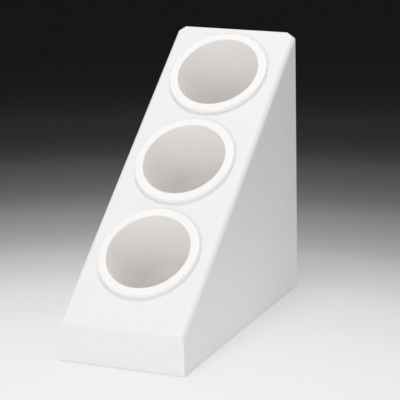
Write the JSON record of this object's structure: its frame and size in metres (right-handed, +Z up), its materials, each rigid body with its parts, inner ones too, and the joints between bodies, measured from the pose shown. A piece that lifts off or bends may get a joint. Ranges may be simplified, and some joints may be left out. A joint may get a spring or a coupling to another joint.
{
  "type": "cutlery stand",
  "caption": "Slanted white plastic stand for self-service cutlery: rimmed round cups hang in holes in its sloping face and lift out for washing.",
  "frame": {"origin": "middle of the overall footprint, on the surface that the stand rests on", "axes": "+Z up, -Y out of the front lip, +X to the right of someone facing the front"},
  "size_m": [0.15, 0.3728, 0.3111],
  "materials": {
    "sheet": "cool white sheet, satin gloss",
    "cup": "warm white moulded, gloss",
    "foot": "matt grey rubber"
  },
  "bodies": {
    "stand": {"folded_shell": "sheet", "floor_panel": "sheet", "foot_front_left": "foot", "foot_front_right": "foot", "foot_rear_left": "foot", "foot_rear_right": "foot"},
    "cup_bottom": {"cup_bottom": "cup"},
    "cup_middle": {"cup_middle": "cup"},
    "cup_top": {"cup_top": "cup"}
  },
  "joints": [
    {"name": "cup_bottom_lift", "type": "slide", "parent": "stand", "child": "cup_bottom", "axis": [0, -0.6211, 0.7837], "range_m": [0, 0.12]},
    {"name": "cup_middle_lift", "type": "slide", "parent": "stand", "child": "cup_middle", "axis": [0, -0.6211, 0.7837], "range_m": [0, 0.12]},
    {"name": "cup_top_lift", "type": "slide", "parent": "stand", "child": "cup_top", "axis": [0, -0.6211, 0.7837], "range_m": [0, 0.12]}
  ]
}
